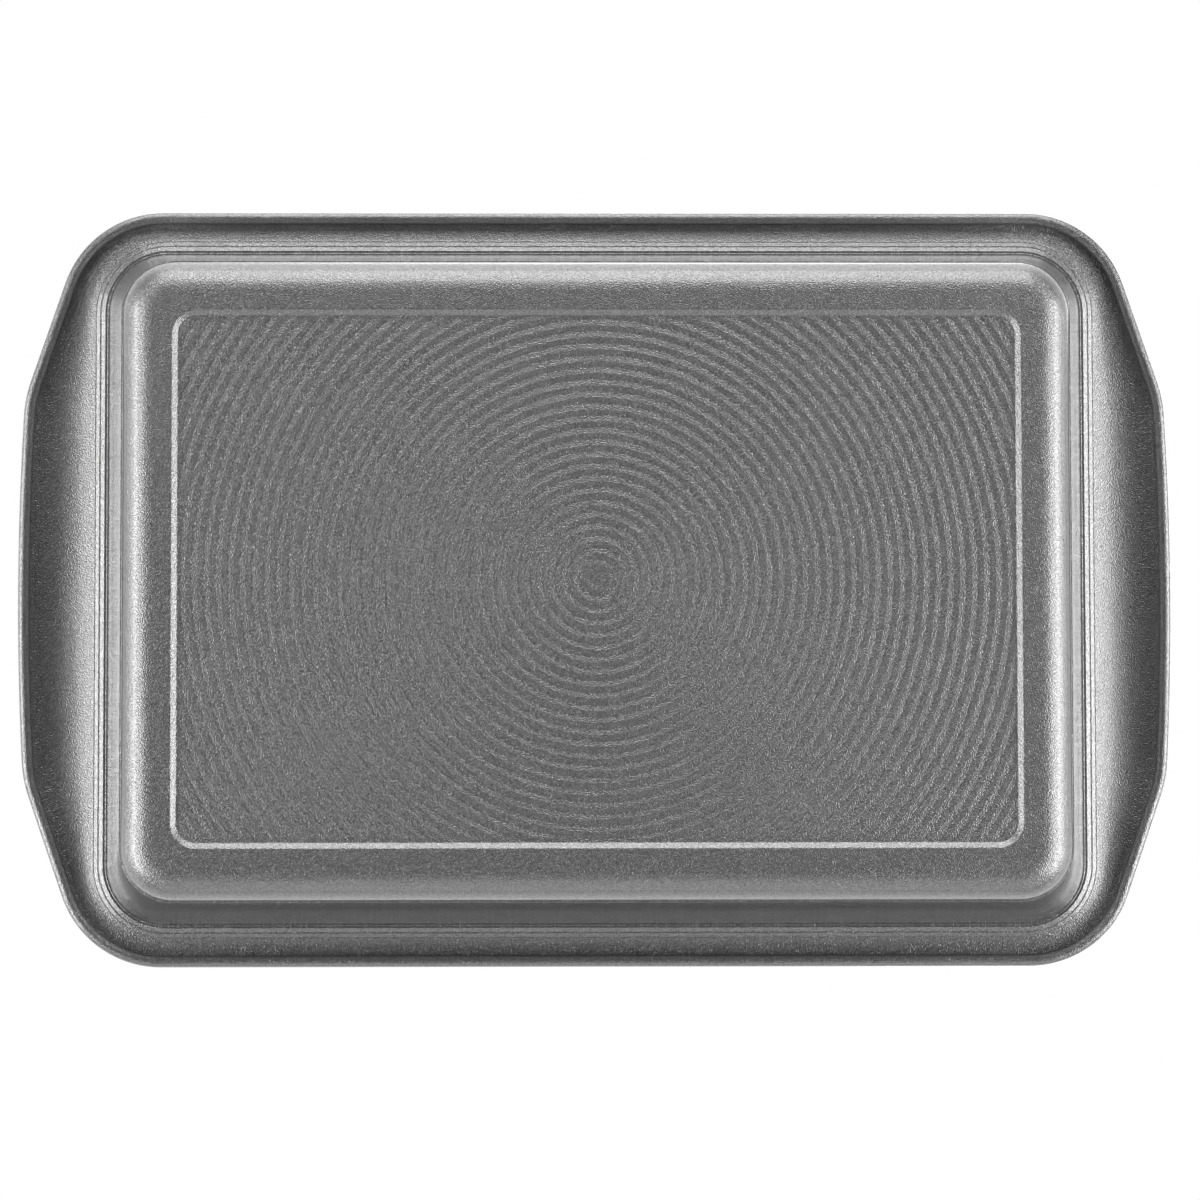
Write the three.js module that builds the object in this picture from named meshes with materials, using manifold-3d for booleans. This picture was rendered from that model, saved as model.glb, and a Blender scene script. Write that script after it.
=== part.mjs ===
// Rectangular cake pan: one pressed sheet of coated steel, its edge rolled round a steel wire.
// It stands upright on its foot band: +Z up, +X along the length, origin under the middle of the base.
// Sizes are in millimetres and angles in degrees. Heights and plan sizes follow the underside of the sheet.
import * as THREE from 'three';
import { mergeVertices } from 'three/addons/utils/BufferGeometryUtils.js';
import Module from 'manifold-3d';

const SHEET = 0.8;

// Well: the opening is measured inside, at the top of the wall.
const OPENING_LENGTH = 330.2;
const OPENING_WIDTH = 227.3;
const WALL_HEIGHT = 46;
const WALL_LEAN = 7.5;
const WALL_TOP_CORNER = 20.5;
const BASE_EDGE_RADIUS = 11.6;
const BASE_CORNER = 6.5;

// Base: a flat foot band round a raised panel. Concentric ribs fill the panel inside a narrow plain lip,
// and are joined to the lip just above its lower face.
const FOOT_BAND = 6.4;
const STEP_RUN = 2;
const STEP_RISE = 1;
const PANEL_CORNER = 6.3;
const PANEL_LIP = 1;
const RIB_PITCH = 4;
const RIB_HEIGHT = 0.2;
const RIB_SEAM = 0.02;

// Ledge above the wall: two small steps with a flatter tread between them.
const LEDGE_STEP_RUN = 1.5;
const LEDGE_STEP_RISE = 0.8;
const LEDGE_TREAD_RUN = 1.2;
const LEDGE_TREAD_RISE = 0.2;

// Flange: a shallow arch from the ledge to the middle of the rolled edge, wide at the handles.
const SIDE_FLANGE = 8.05;
const HANDLE_FLANGE = 24.1;
const FLANGE_RISE = 0.5;
const FLANGE_PITCH = 24.7;

// Rim outline, seen from above.
const RIM_CORNER = 35.5;
const HANDLE_WIDTH = 130;
const HANDLE_BOW = 1.95;
const SHOULDER_SLANT = 18.9;
const SHOULDER_RADIUS = 45;

// Rolled edge, turned outwards, down and in under the flange, with the wire inside it.
const WIRE_DIAMETER = 1.3;
const WIRE_CLEARANCE = 0.3;
const ROLL_START = 72;
const ROLL_TURN = 288;

// How finely the curves are divided.
const CORNER_STEPS = 6;
const SHOULDER_STEPS = 2;
const HANDLE_STEPS = 2;
const BASE_EDGE_STEPS = 4;
const FLANGE_STEPS = 4;
const ROLL_STEPS = 8;
const WIRE_SIDES = 6;
const RIB_SEGMENTS = 24;

const { cos, sin, tan, asin, hypot, ceil, max, min, PI } = Math;
const { degToRad } = THREE.MathUtils;

// Sizes that follow from those above. The levels of the base are set in from the top of the wall.
const BASE_EDGE_INSET = WALL_LEAN + BASE_EDGE_RADIUS;
const STEP_INSET = BASE_EDGE_INSET + FOOT_BAND;
const PANEL_INSET = STEP_INSET + STEP_RUN;
const LEDGE_WIDTH = 2 * LEDGE_STEP_RUN + LEDGE_TREAD_RUN;
const LEDGE_HEIGHT = WALL_HEIGHT + 2 * LEDGE_STEP_RISE + LEDGE_TREAD_RISE;
const ROLL_BORE = WIRE_DIAMETER / 2 + WIRE_CLEARANCE;
const ROLL_RADIUS = ROLL_BORE + SHEET;
const ROLL_HEIGHT = LEDGE_HEIGHT + FLANGE_RISE - ROLL_BORE * sin(degToRad(ROLL_START));
const WALL_TOP = new THREE.Vector2(OPENING_LENGTH / 2 + SHEET, OPENING_WIDTH / 2 + SHEET);
const RIM = WALL_TOP.clone().addScalar(LEDGE_WIDTH + ROLL_RADIUS)
  .add(new THREE.Vector2(HANDLE_FLANGE, SIDE_FLANGE));

// Stations along an arc seen from above, each with its point and its outward normal.
function arcStations(centre, radius, from, to, steps) {
  return Array.from({ length: steps + 1 }, (_, i) => {
    const angle = from + ((to - from) * i) / steps;
    const normal = new THREE.Vector2(cos(angle), sin(angle));
    return { point: normal.clone().multiplyScalar(radius).add(centre), normal };
  });
}

// One quarter of the rim: the side runs from the middle of a handle over its shoulder, then the corner turns.
function rimQuarter() {
  const slant = degToRad(SHOULDER_SLANT);
  const along = new THREE.Vector2(-sin(slant), cos(slant));
  const outward = new THREE.Vector2(cos(slant), sin(slant));

  const shoulder = new THREE.Vector2(RIM.x - HANDLE_BOW, HANDLE_WIDTH / 2);
  const bowRadius = (shoulder.y ** 2 + HANDLE_BOW ** 2) / (2 * HANDLE_BOW);
  const bowAngle = asin(shoulder.y / bowRadius);
  const bowCentre = new THREE.Vector2(RIM.x - bowRadius, 0);
  const shoulderReach = SHOULDER_RADIUS * tan((slant - bowAngle) / 2);
  const bowEnd = bowAngle - shoulderReach / bowRadius;

  const shoulderCentre = shoulder.clone().addScaledVector(along, shoulderReach)
    .addScaledVector(outward, -SHOULDER_RADIUS);
  const side = [
    ...arcStations(bowCentre, bowRadius, 0, bowEnd, HANDLE_STEPS),
    ...arcStations(shoulderCentre, SHOULDER_RADIUS, bowAngle, slant, SHOULDER_STEPS).slice(1),
  ];

  const cornerPoint = shoulder.clone().addScaledVector(along, (RIM.y - shoulder.y) / along.y);
  const cornerReach = RIM_CORNER * tan((PI / 2 - slant) / 2);
  const cornerCentre = new THREE.Vector2(cornerPoint.x - cornerReach, RIM.y - RIM_CORNER);
  const corner = arcStations(cornerCentre, RIM_CORNER, slant, PI / 2, CORNER_STEPS);
  return { side, corner };
}

const RIM_QUARTER = rimQuarter();
const RIM_STATIONS = [...RIM_QUARTER.side, ...RIM_QUARTER.corner];

// The same stations on a level of the well: a rounded rectangle set out or in from the top of the wall.
function wellQuarter(outset, cornerRadius) {
  const half = WALL_TOP.clone().addScalar(outset);
  const centre = half.clone().subScalar(cornerRadius);
  const { side, corner } = RIM_QUARTER;
  const spread = centre.y / corner[0].point.y;
  const turned = arcStations(centre, cornerRadius, 0, PI / 2, corner.length - 1);
  return [
    ...side.map(({ point }) => new THREE.Vector2(half.x, point.y * spread)),
    ...turned.map(({ point }) => point),
  ];
}

// A curve parallel to the rim, at a place on a circle round the middle of the rolled edge.
function rollQuarter(radius, degrees) {
  const inset = ROLL_RADIUS - radius * cos(degToRad(degrees));
  return RIM_STATIONS.map(({ point, normal }) => point.clone().addScaledVector(normal, -inset));
}

// A quarter mirrored into a closed loop, anticlockwise from above. heights holds one height a station.
function closedLoop(quarter, heights) {
  const turn = (x, y) => quarter.map((p, i) => new THREE.Vector3(x * p.x, y * p.y, heights[i]));
  const back = turn(-1, 1).reverse();
  const front = turn(1, -1).reverse();
  return [...turn(1, 1), ...back, ...turn(-1, -1).slice(1), ...front.slice(0, -1)];
}

const levelLoop = (quarter, height) => closedLoop(quarter, quarter.map(() => height));
const wellLoop = (outset, cornerRadius, height) => levelLoop(wellQuarter(outset, cornerRadius), height);

function rollLoop(radius, degrees) {
  return levelLoop(rollQuarter(radius, degrees), ROLL_HEIGHT + radius * sin(degToRad(degrees)));
}

// The underside of the sheet outside the ribs, as loops from the panel's lip out to the rolled edge.
function undersideLoops() {
  const loops = [
    wellLoop(-PANEL_INSET - PANEL_LIP, PANEL_CORNER - PANEL_LIP, STEP_RISE),
    wellLoop(-PANEL_INSET, PANEL_CORNER, STEP_RISE),
    wellLoop(-STEP_INSET, PANEL_CORNER + STEP_RUN, 0),
  ];
  for (let i = 0; i <= BASE_EDGE_STEPS; i++) {
    const angle = ((PI / 2) * i) / BASE_EDGE_STEPS;
    const run = BASE_EDGE_RADIUS * sin(angle);
    const rise = BASE_EDGE_RADIUS * (1 - cos(angle));
    loops.push(wellLoop(run - BASE_EDGE_INSET, BASE_CORNER + run, rise));
  }

  const stepped = (run, rise) => wellLoop(run, WALL_TOP_CORNER + run, WALL_HEIGHT + rise);
  loops.push(
    stepped(0, 0),
    stepped(LEDGE_STEP_RUN, LEDGE_STEP_RISE),
    stepped(LEDGE_STEP_RUN + LEDGE_TREAD_RUN, LEDGE_STEP_RISE + LEDGE_TREAD_RISE),
    stepped(LEDGE_WIDTH, LEDGE_HEIGHT - WALL_HEIGHT),
  );

  const ledge = wellQuarter(LEDGE_WIDTH, WALL_TOP_CORNER + LEDGE_WIDTH);
  const roll = rollQuarter(ROLL_BORE, ROLL_START);
  for (let i = 1; i <= FLANGE_STEPS; i++) {
    const t = i / FLANGE_STEPS;
    const plan = ledge.map((p, k) => p.clone().lerp(roll[k], t));
    const heights = ledge.map((p, k) => {
      const arch = p.distanceTo(roll[k]) * tan(degToRad(FLANGE_PITCH)) * t * (1 - t);
      return LEDGE_HEIGHT + FLANGE_RISE * t + arch;
    });
    loops.push(closedLoop(plan, heights));
  }
  for (let i = 1; i <= ROLL_STEPS; i++) {
    loops.push(rollLoop(ROLL_BORE, ROLL_START - (ROLL_TURN * i) / ROLL_STEPS));
  }
  return loops;
}

// The other face of the sheet: every loop moved one thickness along the mitred normal.
function offsetLoops(loops, thickness) {
  const stripNormal = (i, k) => {
    const around = new THREE.Vector3().subVectors(loops[i][(k + 1) % loops[i].length], loops[i].at(k - 1));
    const outward = new THREE.Vector3().subVectors(loops[i + 1][k], loops[i][k]);
    return outward.cross(around).normalize();
  };
  const lastStrip = loops.length - 2;
  return loops.map((loop, i) => loop.map((p, k) => {
    const before = stripNormal(max(i - 1, 0), k);
    const after = stripNormal(min(i, lastStrip), k);
    const mitre = before.clone().add(after).normalize();
    return p.clone().addScaledVector(mitre, thickness / mitre.dot(before));
  }));
}

// A closed ring lofted through loops that go once round its cross-section.
function ringGeometry(loops) {
  const count = loops[0].length;
  const index = [];
  loops.forEach((_, i) => {
    const here = i * count;
    const there = ((i + 1) % loops.length) * count;
    for (let k = 0; k < count; k++) {
      const next = (k + 1) % count;
      index.push(here + k, there + next, there + k, here + k, here + next, there + next);
    }
  });
  return new THREE.BufferGeometry().setFromPoints(loops.flat()).setIndex(index);
}

const wasm = await Module();
wasm.setup();

// A closed geometry as a solid that can be cut and joined. Triangles that shrink to a line are left out.
function solidOf(geometry) {
  const bare = new THREE.BufferGeometry().setAttribute('position', geometry.getAttribute('position'));
  const merged = mergeVertices(bare.setIndex(geometry.index), 1e-4);
  const corners = [];
  for (let i = 0; i < merged.index.count; i += 3) {
    const [a, b, c] = merged.index.array.slice(i, i + 3);
    if (a !== b && b !== c && c !== a) corners.push(a, b, c);
  }
  const vertProperties = merged.getAttribute('position').array;
  return new wasm.Manifold(new wasm.Mesh({ numProp: 3, vertProperties, triVerts: new Uint32Array(corners) }));
}

function geometryOf(solid) {
  const { vertProperties, triVerts, numProp } = solid.getMesh();
  const geometry = new THREE.BufferGeometry();
  geometry.setAttribute('position', new THREE.BufferAttribute(vertProperties, numProp));
  return geometry.setIndex(new THREE.BufferAttribute(triVerts, 1));
}

// The ribs: a revolved disc of sheet with concentric waves, trimmed to end inside the panel's lip.
function ribbedPanel() {
  const quarter = wellQuarter(-PANEL_INSET - PANEL_LIP / 2, PANEL_CORNER - PANEL_LIP / 2);
  const reach = max(...quarter.map((p) => hypot(p.x, p.y)));
  const crest = STEP_RISE + RIB_SEAM;
  const halfPitch = RIB_PITCH / 2;
  const underside = Array.from({ length: ceil(reach / halfPitch) + 2 }, (_, i) => (
    new THREE.Vector2(i * halfPitch, i % 2 ? crest + RIB_HEIGHT : crest)
  ));
  const upside = underside.map((p) => new THREE.Vector2(p.x, p.y + SHEET)).reverse();
  const disc = new THREE.LatheGeometry([...underside, ...upside], RIB_SEGMENTS).rotateX(PI / 2);

  const outline = new THREE.Shape(levelLoop(quarter, 0).map((p) => new THREE.Vector2(p.x, p.y)));
  const depth = crest + RIB_HEIGHT + 2 * SHEET;
  const trim = new THREE.ExtrudeGeometry(outline, { depth, bevelEnabled: false });
  return solidOf(disc).intersect(solidOf(trim));
}

function panBody() {
  const underside = undersideLoops();
  const upside = offsetLoops(underside, SHEET).reverse();
  const pressed = solidOf(ringGeometry([...underside, ...upside]));
  return geometryOf(pressed.add(ribbedPanel()));
}

function rimWire() {
  const loops = Array.from({ length: WIRE_SIDES }, (_, i) => (
    rollLoop(WIRE_DIAMETER / 2, (360 * i) / WIRE_SIDES)
  ));
  return ringGeometry(loops);
}

const coatedSteel = new THREE.MeshStandardMaterial({ color: 0x706f70, roughness: 0.4, metalness: 0.9 });
const bareSteel = new THREE.MeshStandardMaterial({ color: 0xa0a0a0, roughness: 0.35, metalness: 1 });

function piece(name, geometry, material) {
  geometry.computeVertexNormals();
  const mesh = new THREE.Mesh(geometry, material);
  mesh.name = name;
  return mesh;
}

const pan = new THREE.Group();
pan.add(piece('pan_body', panBody(), coatedSteel));
pan.add(piece('rim_wire', rimWire(), bareSteel));

export default pan;
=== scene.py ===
# Looks of the rectangular cake pan: one pressed steel sheet with a satin grey non-stick coating,
# its edge rolled round a wire. The pan stands upright, and the camera looks at its underside.
from math import asin, atan2, copysign, cos, hypot, pi, radians, sin, tan

import bmesh
import bpy
from mathutils import Euler, Matrix, Vector


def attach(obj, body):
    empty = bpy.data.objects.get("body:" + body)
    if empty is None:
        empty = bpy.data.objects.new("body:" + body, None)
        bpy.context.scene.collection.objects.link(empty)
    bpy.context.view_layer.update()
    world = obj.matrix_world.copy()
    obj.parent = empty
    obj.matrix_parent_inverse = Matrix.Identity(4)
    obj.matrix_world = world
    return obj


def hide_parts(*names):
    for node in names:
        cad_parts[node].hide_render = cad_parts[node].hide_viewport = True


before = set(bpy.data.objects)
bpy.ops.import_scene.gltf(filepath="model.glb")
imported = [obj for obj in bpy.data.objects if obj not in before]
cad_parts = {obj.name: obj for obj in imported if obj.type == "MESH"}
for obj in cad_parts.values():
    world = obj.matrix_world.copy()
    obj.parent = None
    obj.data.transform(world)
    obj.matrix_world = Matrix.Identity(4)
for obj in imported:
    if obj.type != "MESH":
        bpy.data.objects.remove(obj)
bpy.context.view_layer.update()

MM = 0.001

# Sheet, well and base, in millimetres. Plan sizes and heights follow the underside of the sheet. The
# bend of the step and the blunt tip of a rib are shares of the step's run and of a flank.
SHEET = 0.8
WALL_TOP = Vector((165.9, 114.45))
WALL_HEIGHT = 46.2
WALL_LEAN = 7.5
WALL_TOP_CORNER = 20.5
BASE_EDGE_RADIUS = 11.1
CREASE_STEP = 0.5
BASE_CORNER = 6.5
FOOT_BAND = 5.85
STEP_RUN = 2.4
STEP_RISE = 1.3
STEP_BEND = 0.2
PANEL_CORNER = 6.3
RIB_PITCH = 4
RIB_DEPTH = 0.3
RIB_VALLEY = 2.2
RIB_TIP = 0.1
RIB_END = 1.2

# Strips of the ledge, from the wall outwards: the run, the rise and the bend at the outer edge of each.
LEDGE_STEPS = (
    (0.8, -0.2, 0.15),
    (1.4, 0.8, 0.15),
    (0.5, 0, 0.12),
    (1.2, 0.7, 0.12),
    (0.3, 0, 0.1),
)

# Flange and rolled edge, with the roll's angles in degrees. The flange arches more where it is wider.
SIDE_FLANGE = 7.8
HANDLE_FLANGE = 23.85
FLANGE_RISE = 0.5
FLANGE_CROWN = 0.095
FLANGE_CROWN_POWER = 1.5
ROLL_BORE = 1.2
ROLL_START = 72
ROLL_TURN = 288

# Rim outline, seen from above.
RIM_CORNER = 35.5
HANDLE_HALF_WIDTH = 65
HANDLE_BOW = 1.95
SHOULDER_SLANT = radians(18.9)
SHOULDER_RADIUS = 45

# Pressed bends, as the width that each takes from its edge.
CREASE_BEND = 0.1
WALL_TOP_BEND = 0.15
BEND_SEGMENTS = 3

# How finely the curves are divided. The stops of the long side and of the step are shares of their runs.
BOW_STOPS = 18
SHOULDER_STOPS = 8
SLANT_STOPS = 3
CORNER_STOPS = 24
LONG_SIDE_STOPS = (0.97, 0.86, 0.5, 0.0)
BASE_EDGE_STOPS = 14
WALL_STOPS = 4
FLANGE_STOPS = 14
ROLL_STOPS = 20
RIB_SEGMENTS = 140
STEP_STOPS = (-RIB_END / STEP_RUN, 0, 0.1, 0.2, 0.8, 0.9, 1)
PANEL_CUTS = 32

# How far the panel's disc and the foot band reach past the step before they are joined.
PANEL_MARGIN = 0.5
FOOT_JOIN = 1.5

# How close two points are to count as one, or as level with the floor.
CUT_TOLERANCE = 0.0001
CUT_WELD = 0.003
FOOT_TOLERANCE = 0.01

# Floor and lamps, in metres.
FLOOR_REACH = 6
FLOOR_GAP = 0.0005
LAMP_DISTANCE = 1.6
SIDE_LAMP_SHIFT = Vector((0, 0.2, 0))

# Camera: lens and sensor in millimetres, depth of view and place in metres, turn in degrees.
LENS = 145.316
SENSOR = 36
VIEW_DEPTH = 20
CAMERA_PLACE = (-0.02311, 0.1178, -1.59551)
CAMERA_TURN = (-176.0399, 0.855, 0.0936)

BASE_EDGE_INSET = WALL_LEAN + CREASE_STEP + BASE_EDGE_RADIUS
STEP_INSET = BASE_EDGE_INSET + FOOT_BAND
PANEL_INSET = STEP_INSET + STEP_RUN
PANEL_CORNER_CENTRE = WALL_TOP - Vector((1, 1)) * (PANEL_INSET + PANEL_CORNER)
LEDGE_WIDTH = sum(run for run, _, _ in LEDGE_STEPS)
LEDGE_HEIGHT = WALL_HEIGHT + sum(rise for _, rise, _ in LEDGE_STEPS)
ROLL_RADIUS = ROLL_BORE + SHEET
ROLL_HEIGHT = LEDGE_HEIGHT + FLANGE_RISE - ROLL_BORE * sin(radians(ROLL_START))
RIM = WALL_TOP + Vector((HANDLE_FLANGE, SIDE_FLANGE)) + Vector((1, 1)) * (LEDGE_WIDTH + ROLL_RADIUS)


def arc_stops(centre, radius, start, end, steps):
    """Points and outward normals along an arc seen from above."""
    stops = []
    for i in range(steps + 1):
        angle = start + (end - start) * i / steps
        normal = Vector((cos(angle), sin(angle)))
        stops.append((centre + radius * normal, normal))
    return stops


def rim_quarter():
    """The rim from the middle of a handle, over its shoulder and round the corner, to the middle of a
    side, in three stretches."""
    along = Vector((-sin(SHOULDER_SLANT), cos(SHOULDER_SLANT)))
    outward = Vector((cos(SHOULDER_SLANT), sin(SHOULDER_SLANT)))
    shoulder = Vector((RIM.x - HANDLE_BOW, HANDLE_HALF_WIDTH))
    bow_radius = (shoulder.y ** 2 + HANDLE_BOW ** 2) / (2 * HANDLE_BOW)
    bow_angle = asin(shoulder.y / bow_radius)
    reach = SHOULDER_RADIUS * tan((SHOULDER_SLANT - bow_angle) / 2)
    bow_end = bow_angle - reach / bow_radius
    side = arc_stops(Vector((RIM.x - bow_radius, 0)), bow_radius, 0, bow_end, BOW_STOPS)
    shoulder_centre = shoulder + reach * along - SHOULDER_RADIUS * outward
    side += arc_stops(shoulder_centre, SHOULDER_RADIUS, bow_angle, SHOULDER_SLANT, SHOULDER_STOPS)[1:]

    corner_point = shoulder + along * ((RIM.y - shoulder.y) / along.y)
    corner_reach = RIM_CORNER * tan((pi / 2 - SHOULDER_SLANT) / 2)
    corner_centre = Vector((corner_point.x - corner_reach, RIM.y - RIM_CORNER))
    corner = arc_stops(corner_centre, RIM_CORNER, SHOULDER_SLANT, pi / 2, CORNER_STOPS)
    slant_start = side[-1][0]
    for i in range(1, SLANT_STOPS + 1):
        side.append((slant_start.lerp(corner[0][0], i / (SLANT_STOPS + 1)), outward))
    along_side = [(Vector((corner_centre.x * share, RIM.y)), Vector((0, 1))) for share in LONG_SIDE_STOPS]
    return side, corner, along_side


RIM_SIDE, RIM_TURN, RIM_LENGTH = rim_quarter()
RIM_STOPS = RIM_SIDE + RIM_TURN + RIM_LENGTH


def well_quarter(outset, corner_radius):
    """The same stops on a rounded rectangle, set out or in from the top of the wall."""
    half = WALL_TOP + Vector((outset, outset))
    centre = half - Vector((corner_radius, corner_radius))
    stretch = centre.y / RIM_TURN[0][0].y
    quarter = [Vector((half.x, point.y * stretch)) for point, _ in RIM_SIDE]
    quarter += [point for point, _ in arc_stops(centre, corner_radius, 0, pi / 2, CORNER_STOPS)]
    return quarter + [Vector((centre.x * share, half.y)) for share in LONG_SIDE_STOPS]


def roll_quarter(radius, degrees):
    """A curve parallel to the rim, at a place on a circle round the middle of the rolled edge."""
    inset = ROLL_RADIUS - radius * cos(radians(degrees))
    return [point - inset * normal for point, normal in RIM_STOPS]


def full_loop(quarter, heights):
    """A quarter mirrored to a whole loop, in metres. heights is one height, or one for each stop."""
    if not isinstance(heights, list):
        heights = [heights] * len(quarter)
    stops = [Vector((p.x, p.y, z)) * MM for p, z in zip(quarter, heights)]
    flip_x = [Vector((-p.x, p.y, p.z)) for p in stops]
    flip_both = [Vector((-p.x, -p.y, p.z)) for p in stops]
    flip_y = [Vector((p.x, -p.y, p.z)) for p in stops]
    return stops + flip_x[-2::-1] + flip_both[1:] + flip_y[-2:0:-1]


def loop_edges(bm, loop):
    """The edges between the vertices of a closed loop."""
    return [bm.edges.get((a, b)) for a, b in zip(loop, loop[1:] + loop[:1])]


def press_out(bm, loop, outline):
    """Extrudes a loop of vertices and lays the new loop on an outline."""
    made = bmesh.ops.extrude_edge_only(bm, edges=loop_edges(bm, loop))["geom"]
    fresh = {item for item in made if isinstance(item, bmesh.types.BMVert)}
    twins = []
    for vert, place in zip(loop, outline):
        twin = next(e.other_vert(vert) for e in vert.link_edges if e.other_vert(vert) in fresh)
        twin.co = place
        twins.append(twin)
    return twins


def rib_rise(reach):
    """How far the ribs rise over or fall under the panel, at a distance from its middle."""
    t = reach % RIB_PITCH
    share = t / RIB_VALLEY if t < RIB_VALLEY else (RIB_PITCH - t) / (RIB_PITCH - RIB_VALLEY)
    return RIB_DEPTH * (min(max(share, RIB_TIP), 1 - RIB_TIP) - 0.5) / (1 - 2 * RIB_TIP)


def rib_stops(reach):
    """Where the straight flanks of the ribs begin and end, out to a distance from the panel's middle."""
    flanks = ((0, RIB_VALLEY), (RIB_VALLEY, RIB_PITCH))
    ends = [a + (b - a) * share for a, b in flanks for share in (RIB_TIP, 1 - RIB_TIP)]
    return [rib * RIB_PITCH + end for rib in range(int(reach / RIB_PITCH) + 1) for end in ends]


def step_share(t):
    """How far down the step round the panel has come, at a share of its run. Both its ends are bent."""
    slope = 1 / (1 - STEP_BEND)
    if t < STEP_BEND:
        return slope * t * t / (2 * STEP_BEND)
    if t > 1 - STEP_BEND:
        return 1 - slope * (1 - t) ** 2 / (2 * STEP_BEND)
    return slope * (t - STEP_BEND / 2)


def past_panel(place):
    """How far a place lies outside the panel's edge."""
    x = abs(place.x / MM) - PANEL_CORNER_CENTRE.x
    y = abs(place.y / MM) - PANEL_CORNER_CENTRE.y
    return hypot(max(x, 0), max(y, 0)) + min(max(x, y), 0) - PANEL_CORNER


def cut_outline(bm, geometry, outset, clear):
    """Cuts geometry along a curve parallel to the panel's edge. clear takes away what lies outside it."""
    centre = PANEL_CORNER_CENTRE
    for i in range(PANEL_CUTS):
        angle = 2 * pi * i / PANEL_CUTS
        away = Vector((cos(angle), sin(angle), 0))
        corner = Vector((copysign(centre.x, away.x), copysign(centre.y, away.y), 0))
        cut = bmesh.ops.bisect_plane(
            bm, geom=geometry, dist=CUT_TOLERANCE * MM,
            plane_co=(corner + (PANEL_CORNER + outset) * away) * MM,
            plane_no=away, clear_outer=clear)
        geometry = cut["geom"]
    return geometry


def press_panel():
    """The ribbed panel and the step round it. A disc of rings is trimmed on the foot band, cut along the
    step's curves and pressed to height."""
    bm = bmesh.new()
    half = WALL_TOP - Vector((1, 1)) * STEP_INSET
    rings = rib_stops(hypot(half.x, half.y) + PANEL_MARGIN)
    chain = [bm.verts.new((reach * MM, 0, 0)) for reach in rings]
    edges = [bm.edges.new(pair) for pair in zip(chain, chain[1:])]
    bmesh.ops.spin(bm, geom=chain + edges, axis=(0, 0, 1), angle=2 * pi, steps=RIB_SEGMENTS, use_merge=True)
    middle = [edge for edge in bm.edges if edge.is_boundary and edge.verts[0].co.length < rings[1] * MM]
    cap = bmesh.ops.contextual_create(bm, geom=middle)["faces"]
    bmesh.ops.poke(bm, faces=cap)
    cut_outline(bm, bm.verts[:] + bm.edges[:] + bm.faces[:], STEP_RUN + PANEL_MARGIN, True)
    border = [face for face in bm.faces if past_panel(face.calc_center_median()) > -RIB_PITCH]
    border_edges = dict.fromkeys(edge for face in border for edge in face.edges)
    border_verts = dict.fromkeys(vert for face in border for vert in face.verts)
    border += [*border_edges, *border_verts]
    for share in STEP_STOPS:
        border = cut_outline(bm, border, STEP_RUN * share, False)
    bmesh.ops.remove_doubles(bm, verts=bm.verts, dist=CUT_WELD * MM)
    for vert in bm.verts:
        outset = past_panel(vert.co)
        share = step_share(min(max(outset / STEP_RUN, 0), 1))
        fade = min(max(-outset / RIB_END, 0), 1)
        vert.co.z = (STEP_RISE * (1 - share) + fade * rib_rise(hypot(vert.co.x, vert.co.y) / MM)) * MM
    panel = bpy.data.meshes.new("panel")
    bm.to_mesh(panel)
    bm.free()
    return panel


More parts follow.
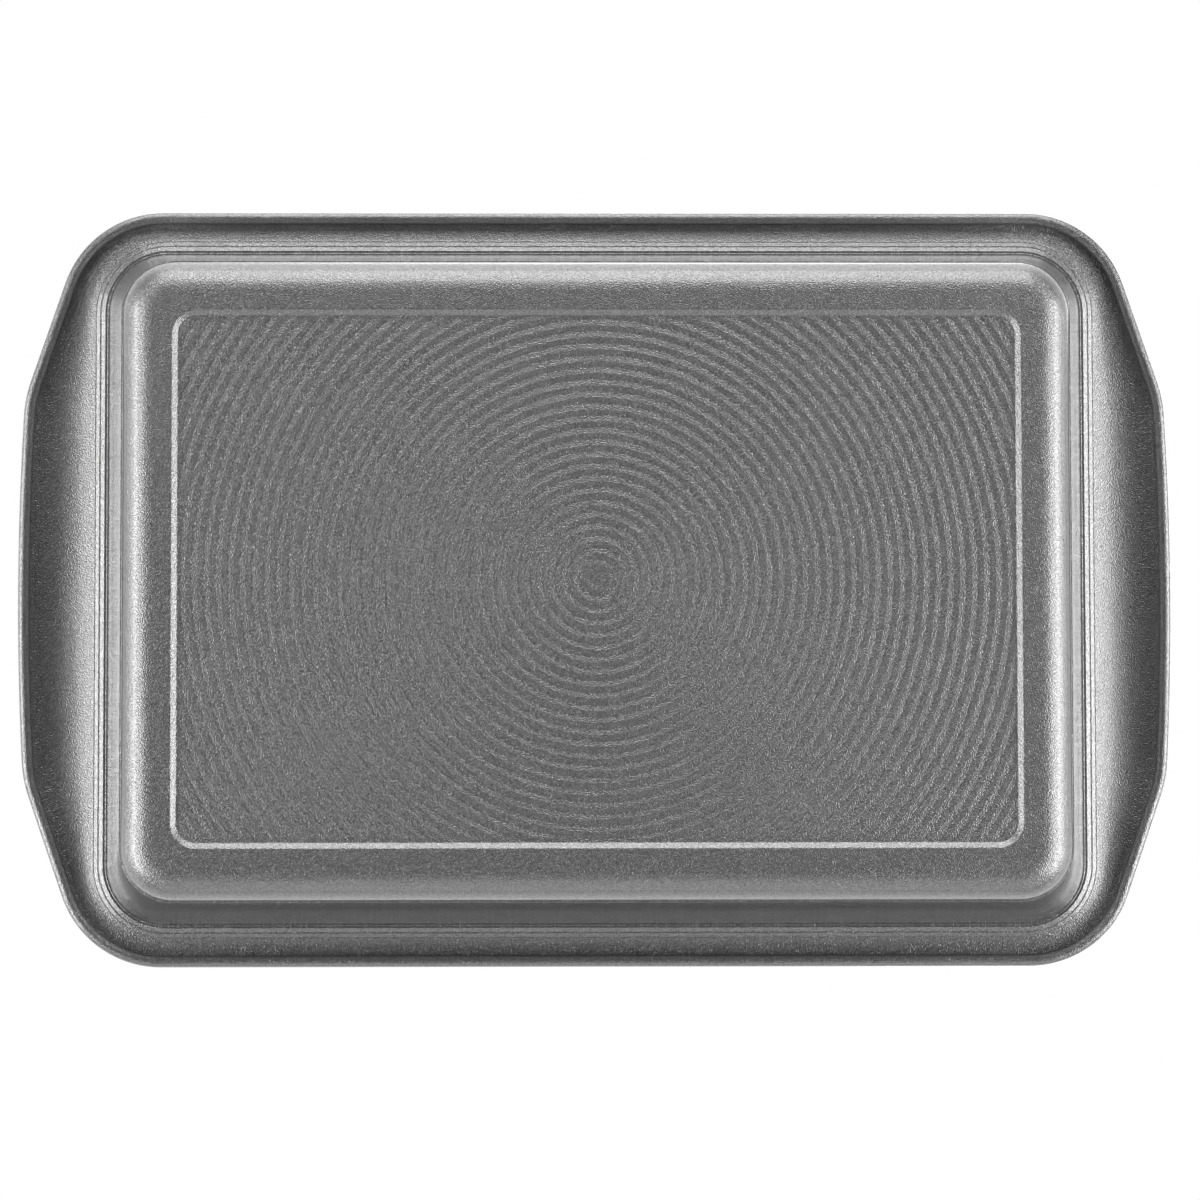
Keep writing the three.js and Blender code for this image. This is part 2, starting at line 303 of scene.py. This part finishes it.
def press_pan():
    """The underside of the sheet, pressed out loop by loop from the foot band to the rolled edge."""
    bm = bmesh.new()

    def well(outset, corner, height):
        return full_loop(well_quarter(outset, corner), height)

    foot = well(FOOT_JOIN - STEP_INSET, PANEL_CORNER + STEP_RUN, 0)
    loop = bmesh.ops.create_circle(bm, cap_ends=False, segments=len(foot), radius=1)["verts"]
    loop.sort(key=lambda vert: atan2(vert.co.y, vert.co.x) % (2 * pi))
    for vert, place in zip(loop, foot):
        vert.co = place
    bends = []

    def bend(loop, width):
        bends.append((loop_edges(bm, loop), width))

    for i in range(BASE_EDGE_STOPS + 1):
        angle = pi / 2 * i / BASE_EDGE_STOPS
        run = BASE_EDGE_RADIUS * sin(angle)
        rise = BASE_EDGE_RADIUS * (1 - cos(angle))
        loop = press_out(bm, loop, well(run - BASE_EDGE_INSET, BASE_CORNER + run, rise))
    bend(loop, CREASE_BEND)
    wall_foot = BASE_CORNER + BASE_EDGE_RADIUS + CREASE_STEP
    loop = press_out(bm, loop, well(-WALL_LEAN, wall_foot, BASE_EDGE_RADIUS))
    bend(loop, CREASE_BEND)
    for i in range(1, WALL_STOPS + 1):
        t = i / WALL_STOPS
        corner = wall_foot * (1 - t) + WALL_TOP_CORNER * t
        height = BASE_EDGE_RADIUS * (1 - t) + WALL_HEIGHT * t
        loop = press_out(bm, loop, well(WALL_LEAN * (t - 1), corner, height))
    bend(loop, WALL_TOP_BEND)
    run, height = 0, WALL_HEIGHT
    for more_run, rise, width in LEDGE_STEPS:
        run += more_run
        height += rise
        loop = press_out(bm, loop, well(run, WALL_TOP_CORNER + run, height))
        bend(loop, width)

    ledge = well_quarter(LEDGE_WIDTH, WALL_TOP_CORNER + LEDGE_WIDTH)
    roll = roll_quarter(ROLL_BORE, ROLL_START)
    widths = [(b - a).length for a, b in zip(ledge, roll)]
    for i in range(1, FLANGE_STOPS + 1):
        t = i / FLANGE_STOPS
        plan = [a.lerp(b, t) for a, b in zip(ledge, roll)]
        crowns = [width ** FLANGE_CROWN_POWER * FLANGE_CROWN * t * (1 - t) for width in widths]
        heights = [LEDGE_HEIGHT + FLANGE_RISE * t + crown for crown in crowns]
        loop = press_out(bm, loop, full_loop(plan, heights))
    for i in range(1, ROLL_STOPS + 1):
        degrees = ROLL_START - ROLL_TURN * i / ROLL_STOPS
        height = ROLL_HEIGHT + ROLL_BORE * sin(radians(degrees))
        loop = press_out(bm, loop, full_loop(roll_quarter(ROLL_BORE, degrees), height))
    for edges, width in bends:
        bmesh.ops.bevel(
            bm, geom=edges, offset=width * MM, offset_type="OFFSET", affect="EDGES",
            segments=BEND_SEGMENTS, profile=0.5, material=-1, clamp_overlap=True)

    panel = press_panel()
    bm.from_mesh(panel)
    bpy.data.meshes.remove(panel)
    rims = [edge for edge in bm.edges if edge.is_boundary]
    on_foot = [edge for edge in rims if max(vert.co.z for vert in edge.verts) < FOOT_TOLERANCE * MM]
    bmesh.ops.triangle_fill(bm, edges=on_foot, normal=(0, 0, -1), use_beauty=True)
    bmesh.ops.recalc_face_normals(bm, faces=bm.faces)
    if sum(face.normal.z * face.calc_area() for face in bm.faces) > 0:
        bmesh.ops.reverse_faces(bm, faces=bm.faces)
    for face in bm.faces:
        face.smooth = True

    mesh = bpy.data.meshes.new("pressed_pan")
    bm.to_mesh(mesh)
    bm.free()
    pan = bpy.data.objects.new("pressed_pan", mesh)
    bpy.context.scene.collection.objects.link(pan)
    sheet = pan.modifiers.new("sheet thickness", "SOLIDIFY")
    sheet.thickness = SHEET * MM
    sheet.offset = -1
    sheet.use_even_offset = True
    sheet.use_quality_normals = True
    flats = pan.modifiers.new("true flats", "WEIGHTED_NORMAL")
    flats.keep_sharp = False
    return pan


def new_material(name):
    """A material, with its nodes and links."""
    material = bpy.data.materials.new(name)
    material.use_nodes = True
    return material, material.node_tree.nodes, material.node_tree.links


def spread(nodes, links, value, taken, given):
    """A node that turns a value in the range taken into one in the range given."""
    node = nodes.new("ShaderNodeMapRange")
    node.inputs["From Min"].default_value, node.inputs["From Max"].default_value = taken
    node.inputs["To Min"].default_value, node.inputs["To Max"].default_value = given
    links.new(value, node.inputs["Value"])
    return node


def satin_coating():
    """Grey non-stick coating: metal flakes in a satin film, with a fine grain in its surface. At a slant
    it is glossier, and the grain shows less."""
    material, nodes, links = new_material("satin_coating")
    shader = nodes["Principled BSDF"]
    shader.inputs["Metallic"].default_value = 0.85
    shader.inputs["Coat Weight"].default_value = 1
    shader.inputs["Coat Roughness"].default_value = 0.1
    shader.inputs["Coat IOR"].default_value = 1.35
    place = nodes.new("ShaderNodeTexCoord")
    flakes = nodes.new("ShaderNodeTexVoronoi")
    flakes.inputs["Scale"].default_value = 2600
    links.new(place.outputs["Object"], flakes.inputs["Vector"])
    shades = nodes.new("ShaderNodeValToRGB")
    shades.color_ramp.elements[0].color = (0.19, 0.188, 0.189, 1)
    shades.color_ramp.elements[1].color = (0.37, 0.367, 0.368, 1)
    links.new(flakes.outputs["Color"], shades.inputs["Fac"])
    links.new(shades.outputs["Color"], shader.inputs["Base Color"])
    slant = nodes.new("ShaderNodeLayerWeight")
    gloss = spread(nodes, links, slant.outputs["Facing"], (0.3, 0.8), (0.38, 0.1))
    links.new(gloss.outputs["Result"], shader.inputs["Roughness"])
    grain = nodes.new("ShaderNodeTexNoise")
    grain.inputs["Scale"].default_value = 2400
    grain.inputs["Detail"].default_value = 0
    links.new(place.outputs["Object"], grain.inputs["Vector"])
    bump = nodes.new("ShaderNodeBump")
    bump.inputs["Distance"].default_value = 0.0002
    links.new(grain.outputs["Fac"], bump.inputs["Height"])
    links.new(bump.outputs["Normal"], shader.inputs["Normal"])
    fading = spread(nodes, links, slant.outputs["Facing"], (0.5, 0.85), (1, 0.1))
    links.new(fading.outputs["Result"], bump.inputs["Strength"])
    return material


def drawn_wire():
    """Plain steel wire with a finely uneven gloss."""
    material, nodes, links = new_material("drawn_wire")
    shader = nodes["Principled BSDF"]
    shader.inputs["Metallic"].default_value = 1.0
    shader.inputs["Base Color"].default_value = (0.36, 0.36, 0.36, 1)
    place = nodes.new("ShaderNodeTexCoord")
    specks = nodes.new("ShaderNodeTexNoise")
    specks.inputs["Scale"].default_value = 2500
    links.new(place.outputs["Object"], specks.inputs["Vector"])
    gloss = spread(nodes, links, specks.outputs["Fac"], (0, 1), (0.3, 0.42))
    links.new(gloss.outputs["Result"], shader.inputs["Roughness"])
    return material


def lay_floor():
    """A pale floor just under the foot band. From below it lets the view and the light through."""
    bm = bmesh.new()
    bmesh.ops.create_grid(bm, x_segments=1, y_segments=1, size=FLOOR_REACH)
    bmesh.ops.translate(bm, verts=bm.verts, vec=(0, 0, -FLOOR_GAP))
    mesh = bpy.data.meshes.new("floor")
    bm.to_mesh(mesh)
    bm.free()
    floor = bpy.data.objects.new("floor", mesh)
    bpy.context.scene.collection.objects.link(floor)
    material, nodes, links = new_material("pale_floor")
    shader = nodes["Principled BSDF"]
    shader.inputs["Base Color"].default_value = (0.8, 0.8, 0.8, 1)
    shader.inputs["Roughness"].default_value = 0.9
    shader.inputs["Specular IOR Level"].default_value = 0.1
    side = nodes.new("ShaderNodeNewGeometry")
    clear = nodes.new("ShaderNodeBsdfTransparent")
    either = nodes.new("ShaderNodeMixShader")
    links.new(side.outputs["Backfacing"], either.inputs["Fac"])
    links.new(shader.outputs["BSDF"], either.inputs[1])
    links.new(clear.outputs["BSDF"], either.inputs[2])
    links.new(either.outputs["Shader"], nodes["Material Output"].inputs["Surface"])
    mesh.materials.append(material)
    floor.visible_diffuse = False
    floor.visible_glossy = False
    floor.visible_transmission = False
    floor.visible_shadow = False


def lamp_place(turn, tilt):
    """A place round the pan. turn goes from +X towards +Y and tilt up from its level, in degrees."""
    level = LAMP_DISTANCE * cos(radians(tilt))
    height = LAMP_DISTANCE * sin(radians(tilt))
    return Vector((level * cos(radians(turn)), level * sin(radians(turn)), height))


def softbox(name, place, size, radiance):
    """A large soft lamp turned to the pan. radiance is how bright its face is, where 1 is white."""
    lamp = bpy.data.lights.new(name, "AREA")
    lamp.shape = "RECTANGLE"
    lamp.size, lamp.size_y = size
    lamp.energy = radiance * pi * size[0] * size[1]
    holder = bpy.data.objects.new(name, lamp)
    bpy.context.scene.collection.objects.link(holder)
    holder.location = place
    holder.rotation_euler = (-place).to_track_quat("-Z", "Y").to_euler()
    holder.visible_camera = False


def light_studio():
    """Soft boxes beside, below and over the pan."""
    softbox("right box", lamp_place(0, -20) + SIDE_LAMP_SHIFT, (1.8, 0.34), 5.7)
    softbox("left box", lamp_place(180, -20) + SIDE_LAMP_SHIFT, (1.8, 0.34), 5.7)
    softbox("right glow", lamp_place(0, -26) + SIDE_LAMP_SHIFT, (1.8, 1.42), 2.8)
    softbox("left glow", lamp_place(180, -26) + SIDE_LAMP_SHIFT, (1.8, 1.42), 2.3)
    softbox("back glow", lamp_place(-90, -24), (1.6, 1.29), 3.4)
    softbox("front glow", lamp_place(90, -22), (1.6, 1.16), 1.05)
    softbox("back rim box", lamp_place(-90, 20), (1.6, 1.04), 0.5)
    softbox("top box", Vector((0.3, -0.4, 1.7)), (1.8, 1.4), 2.2)


def fill_room():
    """A room that lights the pan from above the horizon only. The camera sees it white all round."""
    world = bpy.data.worlds.new("white room")
    world.use_nodes = True
    nodes, links = world.node_tree.nodes, world.node_tree.links
    direction = nodes.new("ShaderNodeTexCoord")
    upward = nodes.new("ShaderNodeSeparateXYZ")
    links.new(direction.outputs["Generated"], upward.inputs["Vector"])
    room = spread(nodes, links, upward.outputs["Z"], (0, 0.3), (0, 1))
    room.interpolation_type = "SMOOTHSTEP"
    ray = nodes.new("ShaderNodeLightPath")
    strength = nodes.new("ShaderNodeMath")
    strength.operation = "MAXIMUM"
    links.new(room.outputs["Result"], strength.inputs[0])
    links.new(ray.outputs["Is Camera Ray"], strength.inputs[1])
    background = nodes["Background"]
    background.inputs["Color"].default_value = (1, 1, 1, 1)
    links.new(strength.outputs["Value"], background.inputs["Strength"])
    bpy.context.scene.world = world


def set_camera():
    """The photograph's view: under the pan, nearly square to its base."""
    lens = bpy.data.cameras.new("camera")
    lens.sensor_width = SENSOR
    lens.lens = LENS
    lens.clip_end = VIEW_DEPTH
    camera = bpy.data.objects.new("camera", lens)
    turn = Euler([radians(angle) for angle in CAMERA_TURN])
    camera.matrix_world = Matrix.Translation(CAMERA_PLACE) @ turn.to_matrix().to_4x4()
    bpy.context.scene.collection.objects.link(camera)
    bpy.context.scene.camera = camera


pan = press_pan()
pan.data.materials.append(satin_coating())
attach(pan, "root")
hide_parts("pan_body")

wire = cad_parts["rim_wire"]
wire.data.materials.clear()
wire.data.materials.append(drawn_wire())

lay_floor()
light_studio()
fill_room()
set_camera()
bpy.context.scene.view_settings.view_transform = "Standard"
